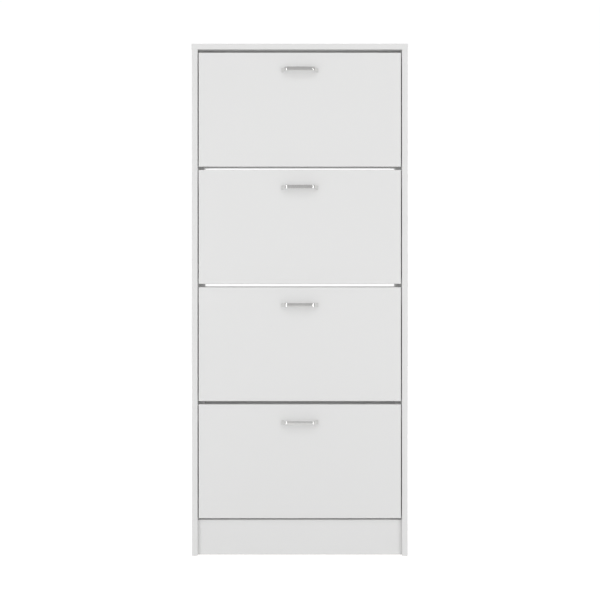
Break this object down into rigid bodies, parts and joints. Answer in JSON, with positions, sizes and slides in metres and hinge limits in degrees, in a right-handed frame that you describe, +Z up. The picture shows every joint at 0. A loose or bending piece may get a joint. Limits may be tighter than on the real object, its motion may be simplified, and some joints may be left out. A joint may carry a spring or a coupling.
{
  "type": "shoe cabinet",
  "caption": "Tall narrow shoe cabinet with tip-out flaps, each on side pivots with a two-row shoe pocket behind it, bow handles and a recessed plinth.",
  "frame": {"origin": "on the floor, in the middle of the overall box (handles included)", "axes": "+Z up, -Y towards the front with the flaps and handles, +X to the right seen from the front"},
  "size_m": [0.608, 0.266, 1.438],
  "materials": {
    "white_board": "white melamine-faced chipboard, satin",
    "inner_board": "white melamine-faced chipboard, satin",
    "moulded_arm": "moulded light grey plastic, fine matt texture",
    "pivot_bush": "moulded plastic",
    "satin_handle": "satin nickel",
    "zinc_steel": "bright zinc-plated steel",
    "cam_metal": "die-cast, dull",
    "beech": "raw fluted beech"
  },
  "bodies": {
    "carcase": {"side_left": "white_board", "side_right": "white_board", "top_panel": "white_board", "plinth": "white_board", "bottom_panel": "white_board", "rear_rail_1": "white_board", "rear_rail_2": "white_board", "rear_rail_3": "white_board", "rear_rail_4": "white_board", "pivot_bushes": "pivot_bush", "stop_pins": "zinc_steel", "cam_bolts": "zinc_steel", "cam_locks": "cam_metal", "wood_dowels": "beech"},
    "flap_unit_1": {"flap_1": "white_board", "handle_1": "satin_handle", "handle_screws_1": "zinc_steel", "arm_left_1": "moulded_arm", "arm_right_1": "moulded_arm", "arm_screws_1": "zinc_steel", "pocket_floor_1": "inner_board", "pocket_back_1": "inner_board", "divider_1": "inner_board"},
    "flap_unit_2": {"flap_2": "white_board", "handle_2": "satin_handle", "handle_screws_2": "zinc_steel", "arm_left_2": "moulded_arm", "arm_right_2": "moulded_arm", "arm_screws_2": "zinc_steel", "pocket_floor_2": "inner_board", "pocket_back_2": "inner_board", "divider_2": "inner_board"},
    "flap_unit_3": {"flap_3": "white_board", "handle_3": "satin_handle", "handle_screws_3": "zinc_steel", "arm_left_3": "moulded_arm", "arm_right_3": "moulded_arm", "arm_screws_3": "zinc_steel", "pocket_floor_3": "inner_board", "pocket_back_3": "inner_board", "divider_3": "inner_board"},
    "flap_unit_4": {"flap_4": "white_board", "handle_4": "satin_handle", "handle_screws_4": "zinc_steel", "arm_left_4": "moulded_arm", "arm_right_4": "moulded_arm", "arm_screws_4": "zinc_steel", "pocket_floor_4": "inner_board", "pocket_back_4": "inner_board", "divider_4": "inner_board"}
  },
  "joints": [
    {"name": "flap_tilt_1", "type": "hinge", "parent": "carcase", "child": "flap_unit_1", "pos_m": [0, -0.083, 1.14288], "axis": [1, 0, 0], "range_deg": [0, 45]},
    {"name": "flap_tilt_2", "type": "hinge", "parent": "carcase", "child": "flap_unit_2", "pos_m": [0, -0.083, 0.81375], "axis": [1, 0, 0], "range_deg": [0, 45]},
    {"name": "flap_tilt_3", "type": "hinge", "parent": "carcase", "child": "flap_unit_3", "pos_m": [0, -0.083, 0.48462], "axis": [1, 0, 0], "range_deg": [0, 45]},
    {"name": "flap_tilt_4", "type": "hinge", "parent": "carcase", "child": "flap_unit_4", "pos_m": [0, -0.083, 0.1555], "axis": [1, 0, 0], "range_deg": [0, 45]}
  ]
}
